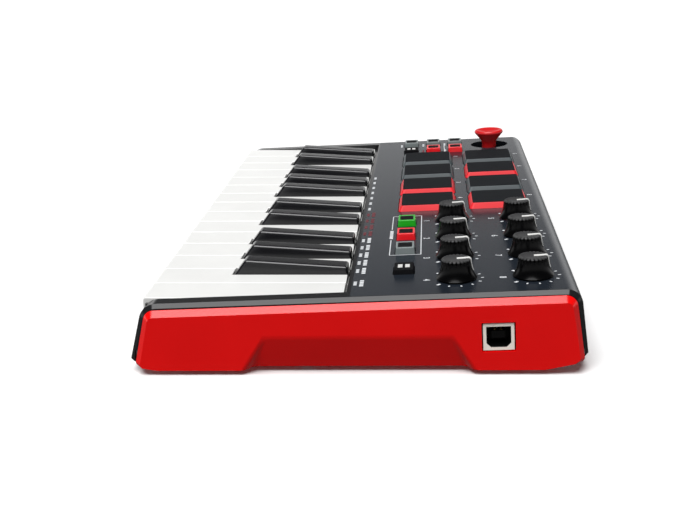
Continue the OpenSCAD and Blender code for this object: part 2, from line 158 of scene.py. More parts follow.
def add_far_softbox(name, heading, rise, spread, irradiance):
    """A softbox far off at that heading and rise: a sun lamp whose disc is spread degrees wide."""
    heading, rise = math.radians(heading), math.radians(rise)
    toward = Vector((
        math.cos(rise) * math.cos(heading),
        math.cos(rise) * math.sin(heading),
        math.sin(rise),
    ))
    data = bpy.data.lights.new(name, "SUN")
    data.angle = math.radians(spread)
    data.energy = irradiance
    lamp = bpy.data.objects.new(name, data)
    lamp.location = toward
    lamp.rotation_mode = "QUATERNION"
    lamp.rotation_quaternion = toward.to_track_quat("Z", "Y")
    bpy.context.collection.objects.link(lamp)
    return lamp


add_far_softbox("key_softbox", -24, 69, 48, 4.4)

floor_bm = bmesh.new()
bmesh.ops.create_grid(floor_bm, x_segments=1, y_segments=1, size=TABLE_HALF)
floor_mesh = bpy.data.meshes.new("table_top")
floor_bm.to_mesh(floor_mesh)
floor_bm.free()
table_top = bpy.data.objects.new("table_top", floor_mesh)
bpy.context.collection.objects.link(table_top)
table_top.visible_glossy = False
table_top.visible_diffuse = False

# %% [markdown]
# ## Shared surface effects
# Moulded plastic is never one flat tone. The tool that shapes it is spark eroded or polished, hands leave
# faint smears, and dust settles. Two node groups hold these effects, so that each material takes them
# with its own strengths: one makes a fine moulded grain, and one varies tone and gloss in broad patches.

# %% Node group helpers


def new_group(name, inputs, outputs):
    """A shader node group with named float inputs, each with its default, and named outputs."""
    group = bpy.data.node_groups.new(name, "ShaderNodeTree")
    for label, value in inputs.items():
        socket = group.interface.new_socket(label, in_out="INPUT", socket_type="NodeSocketFloat")
        socket.default_value = value
    for label in outputs:
        group.interface.new_socket(label, in_out="OUTPUT", socket_type="NodeSocketFloat")
    entry = group.nodes.new("NodeGroupInput")
    end = group.nodes.new("NodeGroupOutput")
    return group, entry, end


def add_math(tree, kind, first, second):
    """A maths node; each side is a number or an output socket."""
    node = tree.nodes.new("ShaderNodeMath")
    node.operation = kind
    for slot_number, value in enumerate((first, second)):
        if isinstance(value, (int, float)):
            node.inputs[slot_number].default_value = value
        else:
            tree.links.new(value, node.inputs[slot_number])
    return node.outputs[0]


def add_noise(tree, scale, detail, roughness=0.55):
    """Noise over the object's own coordinates; scale is a number or a socket."""
    place = tree.nodes.new("ShaderNodeTexCoord")
    noise = tree.nodes.new("ShaderNodeTexNoise")
    noise.inputs["Detail"].default_value = detail
    noise.inputs["Roughness"].default_value = roughness
    tree.links.new(place.outputs["Object"], noise.inputs["Vector"])
    if isinstance(scale, (int, float)):
        noise.inputs["Scale"].default_value = scale
    else:
        tree.links.new(scale, noise.inputs["Scale"])
    return noise.outputs["Fac"]


# %% The moulded grain group
grain_group, grain_in, grain_out = new_group(
    "moulded_grain", {"Grain Scale": 2500.0, "Coarse Share": 0.3}, ["Height"]
)
fine = add_noise(grain_group, grain_in.outputs["Grain Scale"], 2.0)
coarse_scale = add_math(grain_group, "MULTIPLY", grain_in.outputs["Grain Scale"], 0.3)
coarse = add_noise(grain_group, coarse_scale, 3.0)
coarse_part = add_math(grain_group, "MULTIPLY", coarse, grain_in.outputs["Coarse Share"])
grain_height = add_math(grain_group, "ADD", fine, coarse_part)
grain_group.links.new(grain_height, grain_out.inputs["Height"])

# %% The handling group: broad changes of tone and gloss
wear_group, wear_in, wear_out = new_group(
    "handling_marks",
    {"Patch Scale": 30.0, "Smear Scale": 160.0, "Base Gloss": 0.4, "Gloss Change": 0.1},
    ["Tone", "Roughness"],
)
patches = add_noise(wear_group, wear_in.outputs["Patch Scale"], 4.0)
smears = add_noise(wear_group, wear_in.outputs["Smear Scale"], 5.0, 0.65)
blend = add_math(wear_group, "MULTIPLY", patches, smears)
centred = add_math(wear_group, "SUBTRACT", blend, 0.25)
change = add_math(wear_group, "MULTIPLY", centred, wear_in.outputs["Gloss Change"])
wear_rough = add_math(wear_group, "ADD", wear_in.outputs["Base Gloss"], change)
wear_group.links.new(wear_rough, wear_out.inputs["Roughness"])
wear_group.links.new(patches, wear_out.inputs["Tone"])
print("node groups:", [group.name for group in bpy.data.node_groups])

# %% [markdown]
# ## One recipe for every plastic
# Nearly everything here is moulded plastic or rubber, and differs in colour, gloss and grain. One
# function builds the material: the handling marks drive tone and roughness, and the grain drives a
# bump. Constant values stay on the shader's own sockets, where an export can read them.

# %% The plastic recipe
BUMP_DEPTH = 0.02
# The share of the broad patches where the tone goes from the darker to the lighter one
TONE_FROM, TONE_TO = 0.30, 0.70


def make_plastic(name, light, dark, gloss, gloss_change=0.12, grain=2500.0, bump=0.1, **fixed):
    """A moulded material between two near tones; fixed sets more of the shader's own sockets."""
    material = bpy.data.materials.new(name)
    material.use_nodes = True
    tree = material.node_tree
    shader = tree.nodes["Principled BSDF"]
    marks = tree.nodes.new("ShaderNodeGroup")
    marks.node_tree = wear_group
    marks.inputs["Base Gloss"].default_value = gloss
    marks.inputs["Gloss Change"].default_value = gloss_change
    ramp = tree.nodes.new("ShaderNodeValToRGB")
    ramp.color_ramp.elements[0].position = TONE_FROM
    ramp.color_ramp.elements[1].position = TONE_TO
    ramp.color_ramp.elements[0].color = (*dark, 1.0)
    ramp.color_ramp.elements[1].color = (*light, 1.0)
    tree.links.new(marks.outputs["Tone"], ramp.inputs["Fac"])
    tree.links.new(ramp.outputs["Color"], shader.inputs["Base Color"])
    tree.links.new(marks.outputs["Roughness"], shader.inputs["Roughness"])
    grains = tree.nodes.new("ShaderNodeGroup")
    grains.node_tree = grain_group
    grains.inputs["Grain Scale"].default_value = grain
    bumps = tree.nodes.new("ShaderNodeBump")
    bumps.inputs["Strength"].default_value = bump
    bumps.inputs["Distance"].default_value = BUMP_DEPTH * MM
    tree.links.new(grains.outputs["Height"], bumps.inputs["Height"])
    tree.links.new(bumps.outputs["Normal"], shader.inputs["Normal"])
    for label, value in fixed.items():
        shader.inputs[label.replace("_", " ")].default_value = value
    return material


def make_glow(name, light, dark, gloss, glow, strength):
    """Translucent plastic with a lamp behind it: the recipe above, with a little light of its own."""
    material = make_plastic(name, light, dark, gloss, grain=900.0, bump=0.05)
    shader = material.node_tree.nodes["Principled BSDF"]
    shader.inputs["Emission Color"].default_value = (*glow, 1.0)
    shader.inputs["Emission Strength"].default_value = strength
    return material


# %% The plastics of this keyboard
RED_CASE = make_plastic("gloss_red", (0.83, 0.0020, 0.0020), (0.77, 0.0015, 0.0015), 0.22, 0.08, 700.0, 0.04,
                        Specular_IOR_Level=0.35)
WHITE_KEY = make_plastic("white_key_gloss", (0.78, 0.78, 0.765), (0.74, 0.74, 0.725), 0.24, 0.14, 500.0, 0.03)
BLACK_KEY = make_plastic("black_key_gloss", (0.0075, 0.0075, 0.009), (0.0055, 0.0055, 0.007), 0.20, 0.06,
                         600.0, 0.03, Specular_IOR_Level=0.5)
PAD_TOP = make_plastic("pad_rubber", (0.008, 0.009, 0.011), (0.006, 0.007, 0.0085), 0.72, 0.14, 2600.0, 0.3,
                       Specular_IOR_Level=0.1)
SKIRT_RED = make_glow("skirt_lit_red", (0.78, 0.012, 0.022), (0.66, 0.008, 0.015), 0.4, (1.0, 0.02, 0.045),
                      0.03)
SKIRT_GRAY = make_glow("skirt_unlit", (0.062, 0.078, 0.084), (0.046, 0.060, 0.066), 0.4, (1, 1, 1), 0.0)
CAP_RED = make_glow("cap_lit_red", (0.80, 0.010, 0.016), (0.70, 0.007, 0.012), 0.25, (1.0, 0.01, 0.03), 0.03)
CAP_GREEN = make_glow("cap_lit_green", (0.008, 0.36, 0.010), (0.006, 0.30, 0.008), 0.25, (0.01, 0.6, 0.02),
                      0.08)
CAP_GRAY = make_glow("cap_unlit", (0.19, 0.22, 0.22), (0.15, 0.175, 0.175), 0.25, (1, 1, 1), 0.0)
CAP_WINDOW = make_plastic("cap_window", (0.007, 0.007, 0.008), (0.004, 0.004, 0.005), 0.70, 0.1, 900.0, 0.05,
                          Specular_IOR_Level=0.08)
CAP_BLACK = make_plastic("cap_black", (0.003, 0.003, 0.004), (0.002, 0.002, 0.003), 0.65, 0.14, 2600.0, 0.2,
                         Specular_IOR_Level=0.1)
KNOB = make_plastic("knob_satin", (0.002, 0.002, 0.0022), (0.001, 0.001, 0.0012), 0.22, 0.1, 2600.0, 0.1,
                    Specular_IOR_Level=0.10)
# The knob's top and rim teeth: a rougher finish, with a painted sheen and painted highlights in its lighter colour
KNOB_SHEEN_FACE = make_plastic("knob_face_painted_sheen", (0.032, 0.032, 0.033), (0.022, 0.022, 0.023), 0.5, 0.14, 2600.0, 0.4)
POINTER = make_plastic("pointer_white", (0.80, 0.80, 0.78), (0.74, 0.74, 0.72), 0.4, 0.1, 1500.0, 0.05)
PRINT_WHITE = make_plastic("print_white", (0.70, 0.72, 0.74), (0.58, 0.60, 0.62), 0.5, 0.1, 3000.0, 0.1)
PRINT_RED = make_plastic("print_red", (0.17, 0.030, 0.040), (0.12, 0.025, 0.030), 0.5, 0.1, 3000.0, 0.1)
THUMB_RED = make_plastic("thumb_red", (0.66, 0.010, 0.012), (0.54, 0.006, 0.009), 0.34, 0.14, 1800.0, 0.12)
FRAME_GRAY = make_plastic("frame_moulding", (0.050, 0.055, 0.062), (0.038, 0.042, 0.048), 0.5, 0.1, 1800.0,
                          0.2)
ACETAL = make_plastic("gimbal_acetal", (0.06, 0.063, 0.066), (0.045, 0.047, 0.050), 0.4, 0.1, 1600.0, 0.15)
FOOT_RUBBER = make_plastic(
    "foot_rubber", (0.024, 0.024, 0.024), (0.016, 0.016, 0.016), 0.75, 0.1, 1500.0, 0.4
)
# Dull tin plate looks like pale satin rather than like a mirror, so the same recipe makes it
TIN = make_plastic("tin_plate", (0.95, 0.90, 0.82), (0.86, 0.81, 0.73), 0.3, 0.14, 1800.0, 0.1)
# Black insert plastic, also laid on the hole's walls as painted shade
SOCKET_BLACK_AND_HOLE_SHADE = make_plastic("socket_insert_and_hole_shade", (0.003, 0.003, 0.003), (0.002, 0.002, 0.002), 0.45, 0.1, 1500.0,
                            0.1, Specular_IOR_Level=0.15)
TABLE = make_plastic("table_white", (0.90, 0.90, 0.90), (0.88, 0.88, 0.88), 0.6, 0.1, 300.0, 0.02)
table_top.data.materials.append(TABLE)
print("plastics:", len(bpy.data.materials))

# %% [markdown]
# ## The shell's two finishes
# The shell's mould is spark eroded over the panel, which leaves it satin and a little blue, and polished
# everywhere else, so the rims beside the keys and the chamfers at the ends are black and mirror the
# lamps. One material holds both: a mask made from the place on the shell tells panel from rim.

# %% Satin panel, polished rims
PANEL_EDGE_Y = -2.0 * MM
PANEL_END_X = 153.6 * MM
SATIN = ((0.014, 0.018, 0.025), (0.011, 0.015, 0.021), 0.26)
POLISHED = ((0.012, 0.012, 0.013), 0.12)
SHELL = make_plastic("two_finish_shell", *SATIN, 0.05, 3200.0, 0.08, Specular_IOR_Level=0.25)


def mix_by_mask(tree, mask, data_type, first, second):
    """A Mix node between a link and a constant, driven by a mask."""
    mix = tree.nodes.new("ShaderNodeMix")
    mix.data_type = data_type
    sockets = [s for s in mix.inputs if s.enabled]
    tree.links.new(mask, sockets[0])
    sockets[1].default_value = first
    tree.links.new(second, sockets[2])
    return next(s for s in mix.outputs if s.enabled)


tree = SHELL.node_tree
shader = tree.nodes["Principled BSDF"]
spot = tree.nodes.new("ShaderNodeTexCoord")
axes = tree.nodes.new("ShaderNodeSeparateXYZ")
tree.links.new(spot.outputs["Object"], axes.inputs["Vector"])
behind_keys = add_math(tree, "GREATER_THAN", axes.outputs["Y"], PANEL_EDGE_Y)
from_middle = add_math(tree, "ABSOLUTE", axes.outputs["X"], 0.0)
inside_ends = add_math(tree, "LESS_THAN", from_middle, PANEL_END_X)
satin_mask = add_math(tree, "MULTIPLY", behind_keys, inside_ends)
for socket, kind, polished in (
    ("Base Color", "RGBA", (*POLISHED[0], 1.0)),
    ("Roughness", "FLOAT", POLISHED[1]),
):
    satin = shader.inputs[socket].links[0].from_socket
    tree.links.new(mix_by_mask(tree, satin_mask, kind, polished, satin), shader.inputs[socket])
print("satin behind y =", round(PANEL_EDGE_Y / MM, 1), "and within x =", round(PANEL_END_X / MM, 1))

# %% [markdown]
# ## Metal and board
# The socket's contacts and the case screws are plated metal, brushed along one way, and the circuit
# boards wear a green varnish over copper tracks that show as slightly paler lines.

# %% Metals and the circuit board


def make_metal(name, color, gloss, stretch):
    """Plated metal with faint lines: noise stretched along one axis of the piece."""
    material = bpy.data.materials.new(name)
    material.use_nodes = True
    tree = material.node_tree
    shader = tree.nodes["Principled BSDF"]
    shader.inputs["Metallic"].default_value = 1.0
    place = tree.nodes.new("ShaderNodeTexCoord")
    mapping = tree.nodes.new("ShaderNodeMapping")
    mapping.inputs["Scale"].default_value = stretch
    noise = tree.nodes.new("ShaderNodeTexNoise")
    noise.inputs["Scale"].default_value = 400.0
    noise.inputs["Detail"].default_value = 4.0
    tree.links.new(place.outputs["Object"], mapping.inputs["Vector"])
    tree.links.new(mapping.outputs["Vector"], noise.inputs["Vector"])
    ramp = tree.nodes.new("ShaderNodeValToRGB")
    ramp.color_ramp.elements[0].color = (*[c * 0.82 for c in color], 1.0)
    ramp.color_ramp.elements[1].color = (*color, 1.0)
    tree.links.new(noise.outputs["Fac"], ramp.inputs["Fac"])
    tree.links.new(ramp.outputs["Color"], shader.inputs["Base Color"])
    spread = add_math(tree, "MULTIPLY", noise.outputs["Fac"], 0.2)
    tree.links.new(add_math(tree, "ADD", spread, gloss), shader.inputs["Roughness"])
    bumps = tree.nodes.new("ShaderNodeBump")
    bumps.inputs["Strength"].default_value = 0.1
    bumps.inputs["Distance"].default_value = BUMP_DEPTH * MM
    tree.links.new(noise.outputs["Fac"], bumps.inputs["Height"])
    tree.links.new(bumps.outputs["Normal"], shader.inputs["Normal"])
    return material


GOLD = make_metal("gold_contact", (0.90, 0.62, 0.22), 0.18, (0.3, 3.0, 3.0))
STEEL = make_metal("screw_steel", (0.56, 0.57, 0.58), 0.28, (2.0, 2.0, 0.3))


def make_board(name):
    """Green solder mask, with the copper tracks under it as paler lines."""
    material = make_plastic(name, (0.016, 0.12, 0.05), (0.012, 0.09, 0.04), 0.35, 0.1, 900.0, 0.1)
    tree = material.node_tree
    shader = tree.nodes["Principled BSDF"]
    place = tree.nodes.new("ShaderNodeTexCoord")
    tracks = tree.nodes.new("ShaderNodeTexBrick")
    tracks.inputs["Scale"].default_value = 120.0
    tracks.inputs["Mortar Size"].default_value = 0.035
    tracks.inputs["Color1"].default_value = (0.012, 0.10, 0.042, 1.0)
    tracks.inputs["Color2"].default_value = (0.014, 0.12, 0.050, 1.0)
    tracks.inputs["Mortar"].default_value = (0.05, 0.24, 0.10, 1.0)
    tree.links.new(place.outputs["Object"], tracks.inputs["Vector"])
    tree.links.new(tracks.outputs["Color"], shader.inputs["Base Color"])
    return material


BOARD = make_board("solder_mask")
print("metals and board:", GOLD.name, STEEL.name, BOARD.name)

# %% [markdown]
# ## From a bmesh to a finished piece
# Every new piece ends the same way: its mesh is moved to its place, its flat faces and round ones are told
# apart by angle, and it rides on the body that carries it. A weighted-normal modifier lets the small
# bevels shade as soft edges while the large faces stay flat.

# %% Finish, ride and stand in


def finish_piece(bm, name, body, material, place=None, node=None, sharp=35.0, weighted=True):
    """Turns a bmesh into an object that rides on a body and may stand for a CAD node."""
    if place is not None:
        bmesh.ops.transform(bm, matrix=place, verts=bm.verts)
    mesh = bpy.data.meshes.new(name)
    bm.to_mesh(mesh)
    bm.free()
    materials = material if isinstance(material, (list, tuple)) else [material]
    for each in materials:
        mesh.materials.append(each)
    mesh.shade_smooth()
    mesh.set_sharp_from_angle(angle=math.radians(sharp))
    piece = bpy.data.objects.new(name, mesh)
    bpy.context.collection.objects.link(piece)
    if weighted:
        normals = piece.modifiers.new("flat_faces", "WEIGHTED_NORMAL")
        normals.keep_sharp = True
    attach(piece, body)
    if node:
        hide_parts(node)
    return piece


MERGE_DISTANCE = 0.004
SHORTEST_EDGE = 0.2


def copy_of(node):
    """A merged copy of a CAD node's mesh, its flat faces whole again and its shortest edges closed up."""
    bm = bmesh.new()
    bm.from_mesh(frame["nodes"][node].data)
    bmesh.ops.remove_doubles(bm, verts=bm.verts, dist=MERGE_DISTANCE * MM)
    bmesh.ops.dissolve_limit(bm, angle_limit=math.radians(1.0), verts=bm.verts, edges=bm.edges)
    bmesh.ops.dissolve_degenerate(bm, dist=SHORTEST_EDGE * MM, edges=bm.edges)
    return bm


def sharp_edges(bm, degrees, wanted=None):
    """Edges whose faces turn by more than that angle; wanted may narrow the choice by edge middle."""
    limit = math.radians(degrees)
    picked = []
    for edge in bm.edges:
        if len(edge.link_faces) != 2 or edge.calc_face_angle() < limit:
            continue
        middle = (edge.verts[0].co + edge.verts[1].co) / 2
        if wanted is None or wanted(middle / MM, edge):
            picked.append(edge)
    return picked


def round_edges(bm, edges, radius, segments=2):
    """Rounds those edges by a radius in millimetres."""
    return bmesh.ops.bevel(
        bm, geom=edges, offset=radius * MM, offset_type="OFFSET", segments=segments, profile=0.5,
        affect="EDGES", clamp_overlap=True, material=-1,
    )


# %% [markdown]
# ## The top shell
# The dark shell is one moulding: panel, side rims, front lip and rear wall. Its shape is right in the CAD
# model, but a real moulding has no knife edges, so the piece is a merged copy whose edges are rounded.
# The rounding is what catches the light around the key bay and along the rims.

# %% Round the shell's edges
shell_bm = copy_of("top_case")
round_edges(shell_bm, sharp_edges(shell_bm, 40.0), 0.3, 2)
shell = finish_piece(shell_bm, "top_shell", "case", SHELL, node="top_case")
print("shell faces:", len(shell.data.polygons))

# %% [markdown]
# ## The red case
# The case is polished, so its edges show as thin lines of light. The scoops in its end walls are
# softer than the rest: their borders roll over a millimetre or more, so they get a wider rounding first.
# Along the very bottom the walls stay crisp.

# %% Round the red case
SCOOP_DEPTH = 4.5
SCOOP_HALF_LENGTH = 48
SCOOP_TOP_Z = 17
SCOOP_SHORTEST_EDGE = 4.0
BOTTOM_BAND = 0.6
case_bm = copy_of("bottom_case")
low, high = [Vector(corner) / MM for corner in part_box("bottom_case")]


def soft_border(middle, edge):
    """Whether an edge is one of a scoop's borders, away from the case's bottom."""
    in_scoop = (
        abs(middle.x) > high.x - SCOOP_DEPTH
        and abs(middle.y) < SCOOP_HALF_LENGTH
        and middle.z < SCOOP_TOP_Z
        and edge.calc_length() > SCOOP_SHORTEST_EDGE * MM
    )
    return in_scoop and middle.z >= low.z + BOTTOM_BAND


round_edges(case_bm, sharp_edges(case_bm, 8.0, soft_border), 1.2, 4)
round_edges(case_bm, sharp_edges(case_bm, 40.0, lambda m, e: not soft_border(m, e)), 0.35, 2)
red_case = finish_piece(case_bm, "red_case", "case", RED_CASE, node="bottom_case",
                        sharp=25.0)
print("red case faces:", len(red_case.data.polygons))

# %% [markdown]
# ## The keys
# A white key is a hollow moulding with a softly rounded front edge, and a black key has a sloping front and
# a top that a fingertip can slide over. Both are merged copies with rounded edges: a wide radius on the
# front edge of the white keys, where the finger leaves it, and a narrow one along the sides.

# %% White keys
# Only edges above these heights are rounded, because the rest is hidden between the keys
WHITE_VISIBLE_Z = 26.5
BLACK_VISIBLE_Z = 28.8
WHITE_COUNT = sum(1 for name in frame["nodes"] if name.startswith("white_key_"))
for number in range(1, WHITE_COUNT + 1):
    name = f"white_key_{number}"
    low, high = [Vector(corner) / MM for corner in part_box(name)]
    key_bm = copy_of(name)
    front_edges = sharp_edges(key_bm, 40.0, lambda m, e: m.y < low.y + 0.1 and m.z > high.z - 0.2)
    round_edges(key_bm, front_edges, 1.0, 4)
    round_edges(key_bm, sharp_edges(key_bm, 50.0, lambda m, e: m.z > WHITE_VISIBLE_Z), 0.3, 2)
    finish_piece(key_bm, f"{name}_moulding", name, WHITE_KEY, node=name)
print("white keys:", WHITE_COUNT)

# %% Black keys
BLACK_COUNT = sum(1 for name in frame["nodes"] if name.startswith("black_key_"))
for number in range(1, BLACK_COUNT + 1):
    name = f"black_key_{number}"
    key_bm = copy_of(name)
    round_edges(key_bm, sharp_edges(key_bm, 12.0, lambda m, e: m.z > BLACK_VISIBLE_Z), 1.1, 5)
    finish_piece(key_bm, f"{name}_moulding", name, BLACK_KEY, node=name)
print("black keys:", BLACK_COUNT)

# %% [markdown]
# ## Drum pads
# A pad is two mouldings: a dark rubber block that the finger hits, and under it a clear skirt that a
# lamp colours from below. The skirt flares to its foot and carries on through the panel to a rim that
# keeps it in. Both start from a cube: the skirt's top is drawn in, and every upright edge is rounded.

# %% Pads
PAD_TOP_SIZE = Vector((24.4, 25.9))
PAD_FLARE = 1.4
PAD_HEIGHT = 3.0
SKIRT_STEP = 0.35
SKIRT_FOOT_Z = -3.6
PAD_BASE_Z = 1.2
# The rim that keeps a pad in stands out by half of this all round
PAD_KEEPER = 3


def make_block(size_x, size_y, z0, z1, corner=0.0, draw_in=0.0, soft=0.0, segments=3):
    """A block in millimetres; its upright edges may be rounded, its top drawn in and its rim softened."""
    bm = bmesh.new()
    bmesh.ops.create_cube(bm, size=1.0)
    bmesh.ops.scale(bm, vec=(size_x * MM, size_y * MM, (z1 - z0) * MM), verts=bm.verts)
    bmesh.ops.translate(bm, vec=(0, 0, (z0 + z1) / 2 * MM), verts=bm.verts)
    if corner:
        upright = [e for e in bm.edges if abs(e.verts[0].co.z - e.verts[1].co.z) > 0.5 * (z1 - z0) * MM]
        round_edges(bm, upright, corner, 4)
    top = [v for v in bm.verts if v.co.z > (z1 - 0.01) * MM]
    if draw_in:
        shrink = (1 - 2 * draw_in / size_x, 1 - 2 * draw_in / size_y, 1)
        bmesh.ops.scale(bm, vec=shrink, verts=top)
    if soft:
        rim = [e for e in bm.edges if all(v.co.z > (z1 - 0.01) * MM for v in e.verts)]
        round_edges(bm, rim, soft, segments)
    return bm


def join_bm(bm, other):
    """Adds another bmesh's geometry to the first."""
    mesh = bpy.data.meshes.new("part")
    other.to_mesh(mesh)
    other.free()
    bm.from_mesh(mesh)
    bpy.data.meshes.remove(mesh)
    return bm


def make_skirt():
    foot = PAD_TOP_SIZE + Vector((2 * PAD_FLARE, 2 * PAD_FLARE))
    bm = make_block(foot.x, foot.y, 0.0, PAD_HEIGHT - SKIRT_STEP, 1.6, PAD_FLARE - 0.1, 0.15, 2)
    join_bm(bm, make_block(foot.x, foot.y, SKIRT_FOOT_Z, 0.0, 1.6))
    keeper = foot + Vector((PAD_KEEPER, PAD_KEEPER))
    return join_bm(bm, make_block(keeper.x, keeper.y, SKIRT_FOOT_Z, SKIRT_FOOT_Z + 1.0, 1.0))


def make_pad_top():
    return make_block(PAD_TOP_SIZE.x + 0.1, PAD_TOP_SIZE.y + 0.1, PAD_BASE_Z, PAD_HEIGHT, 1.0, 0.15, 0.3, 3)


subparts = {row["node"]: row["material_slot"] for row in frame["record"]["subparts"]}
PAD_COUNT = sum(1 for name in frame["nodes"] if name.startswith("pad_"))
for number in range(1, PAD_COUNT + 1):
    name = f"pad_{number}"
    lit = subparts[name] == "pad_red"
    place = place_over(name)
    finish_piece(make_skirt(), f"{name}_skirt", name, SKIRT_RED if lit else SKIRT_GRAY, place, node=name)
    finish_piece(make_pad_top(), f"{name}_top", name, PAD_TOP, place)
print("pads:", PAD_COUNT)

# %% [markdown]
# ## Buttons
# Each lit button is a clear cap with a smoked window let into its top. The window leaves a coloured frame
# all round, widest on the player's left. The two plain buttons are solid black with small pale marks.

# %% Buttons
BUTTON_SIZE = Vector((10.8, 8.5))
BUTTON_HEIGHT = 2.9
PLAIN_HEIGHT = 2.0
BUTTON_KEEPER = 2
WINDOW_FRAME = Vector((3.8, 2.3))
WINDOW_SHIFT = 0.5
WINDOW_DEPTH = 0.6
WINDOW_STAND = 0.04
PEG_R = 1.5
PEG_LENGTH = 1.1
PEG_MIDDLE_Z = -3.85


def make_stem():
    """The part of a button below the panel: its keeper rim and the peg that works the switch."""
    bm = make_block(BUTTON_SIZE.x + BUTTON_KEEPER, BUTTON_SIZE.y + BUTTON_KEEPER, -3.4, -2.5, 0.5)
    join_bm(bm, make_block(BUTTON_SIZE.x, BUTTON_SIZE.y, -2.6, 0.0, 0.5))
    peg = bmesh.new()
    bmesh.ops.create_cone(peg, cap_ends=True, segments=24, radius1=PEG_R * MM, radius2=PEG_R * MM,
                          depth=PEG_LENGTH * MM)
    bmesh.ops.translate(peg, vec=(0, 0, PEG_MIDDLE_Z * MM), verts=peg.verts)
    return join_bm(bm, peg)


def make_cap(height):
    bm = make_block(BUTTON_SIZE.x, BUTTON_SIZE.y, 0.0, height, 0.5, 0.3, 0.25, 3)
    return join_bm(bm, make_stem())


def make_window():
    size = BUTTON_SIZE - WINDOW_FRAME
    bm = make_block(size.x, size.y, BUTTON_HEIGHT - WINDOW_DEPTH, BUTTON_HEIGHT + WINDOW_STAND, 0.2, 0,
                    WINDOW_STAND, 1)
    bmesh.ops.translate(bm, vec=(WINDOW_SHIFT * MM, 0, 0), verts=bm.verts)
    return bm


CAPS = {"button_red": CAP_RED, "button_green": CAP_GREEN, "button_gray": CAP_GRAY, "button_black": CAP_BLACK}
BUTTON_COUNT = sum(1 for name in frame["nodes"] if name.startswith("button_"))
for number in range(1, BUTTON_COUNT + 1):
    name = f"button_{number}"
    kind = subparts[name]
    plain = kind == "button_black"
    place = place_over(name)
    finish_piece(make_cap(PLAIN_HEIGHT if plain else BUTTON_HEIGHT), f"{name}_cap", name, CAPS[kind], place,
                 node=name)
    if not plain:
        finish_piece(make_window(), f"{name}_window", name, CAP_WINDOW, place)
print("buttons:", BUTTON_COUNT)

# %% [markdown]
# ## Knobs
# A knob is a bell: a wide thin foot that sweeps up to a narrow cap, cut with shallow flutes for grip. A
# profile spun round the axis gives the bell, and the flutes are the spun rings pulled in and out as
# a wave, deepest at the cap's rim and gone at its waist. A white pointer is let into the top
# and bends down the side, so that it can be read from the front too.

# %% Knob body
KNOB_FOOT_R = 8.2
KNOB_CAP_R = 6.0
KNOB_TOP = 8.5
FLUTES = 22
FLUTE_DEPTH = 0.9
FLUTE_START_Z = 6.3
FLUTE_RUN = 1.4
SPIN_STEPS = 176
# The bell runs from its foot's lip up to the cap's waist, and its spindle goes down through the panel
LIP_Z = 0.75
WAIST_Z = 7.8
SPINDLE_R = 3.0
SPINDLE_Z = -7.5


def spin_profile(points, steps):
    """Spins a list of (radius, height) points in millimetres round Z into a closed skin."""
    bm = bmesh.new()
    ring = [bm.verts.new((r * MM, 0, z * MM)) for r, z in points]
    edges = [bm.edges.new(pair) for pair in zip(ring, ring[1:])]
    bmesh.ops.spin(bm, geom=ring + edges, cent=(0, 0, 0), axis=(0, 0, 1), angle=math.tau, steps=steps,
                   use_merge=True, use_duplicate=False)
    bmesh.ops.remove_doubles(bm, verts=bm.verts, dist=0.002 * MM)
    bmesh.ops.recalc_face_normals(bm, faces=bm.faces)
    return bm


def bell_radius(z):
    """The bell's radius at a height: it opens ever faster from the cap's waist down to the foot's lip."""
    opened = max(0.0, (WAIST_Z - z) / (WAIST_Z - LIP_Z))
    return KNOB_CAP_R - 0.1 + (KNOB_FOOT_R - KNOB_CAP_R + 0.1) * (0.35 * opened + 0.65 * opened ** 3.2)


def knob_points():
    side = [(bell_radius(z), z) for z in (0.9, 1.1, 1.4, 1.8, 2.3, 2.9, 3.6, 4.4, 5.2, 6.0, 6.6, 7.3, 7.9)]
    rim = KNOB_CAP_R - 0.15
    return (
        [(0.0, SPINDLE_Z), (SPINDLE_R, SPINDLE_Z), (SPINDLE_R, 0.9)]
        + [(7.6, 0.6), (KNOB_FOOT_R - 0.1, 0.6), (KNOB_FOOT_R, LIP_Z)]
        + side
        + [(rim - 0.05, 8.2), (rim - 0.3, 8.42), (rim - 0.6, KNOB_TOP), (rim - 1.0, KNOB_TOP - 0.03)]
        + [(3.5, KNOB_TOP - 0.16), (1.5, KNOB_TOP - 0.24), (0.0, KNOB_TOP - 0.26)]
    )


def cut_flutes(bm):
    """Pulls the cap's rings in as a wave, more towards the top."""
    for vert in bm.verts:
        z = vert.co.z / MM
        radius = Vector(vert.co.xy).length / MM
        if z < FLUTE_START_Z or radius < KNOB_CAP_R - 1.2:
            continue
        fade = min(1.0, (z - FLUTE_START_Z) / FLUTE_RUN)
        angle = math.atan2(vert.co.y, vert.co.x)
        groove = max(0.0, math.cos(FLUTES * angle)) ** 1.5
        scale = 1 - FLUTE_DEPTH * fade * groove / radius
        vert.co.x *= scale
        vert.co.y *= scale
    return bm


def face_knob(bm):
    """Gives the top and the teeth round its rim the second material: a rougher finish whose lighter colour is a
    painted sheen on the top and painted highlights on the teeth.
    """
    for face in bm.faces:
        middle = face.calc_center_median() / MM
        on_top = middle.z > KNOB_TOP - 0.7 and middle.xy.length < KNOB_CAP_R + 0.2
        face.material_index = 1 if on_top else 0
    return bm


# %% Knob pointer
POINTER_W = 1.5
POINTER_STAND = 0.22
POINTER_THICKNESS = 0.4
# Below this height the ribbon hangs down the knob's side
POINTER_BEND_Z = 8.2


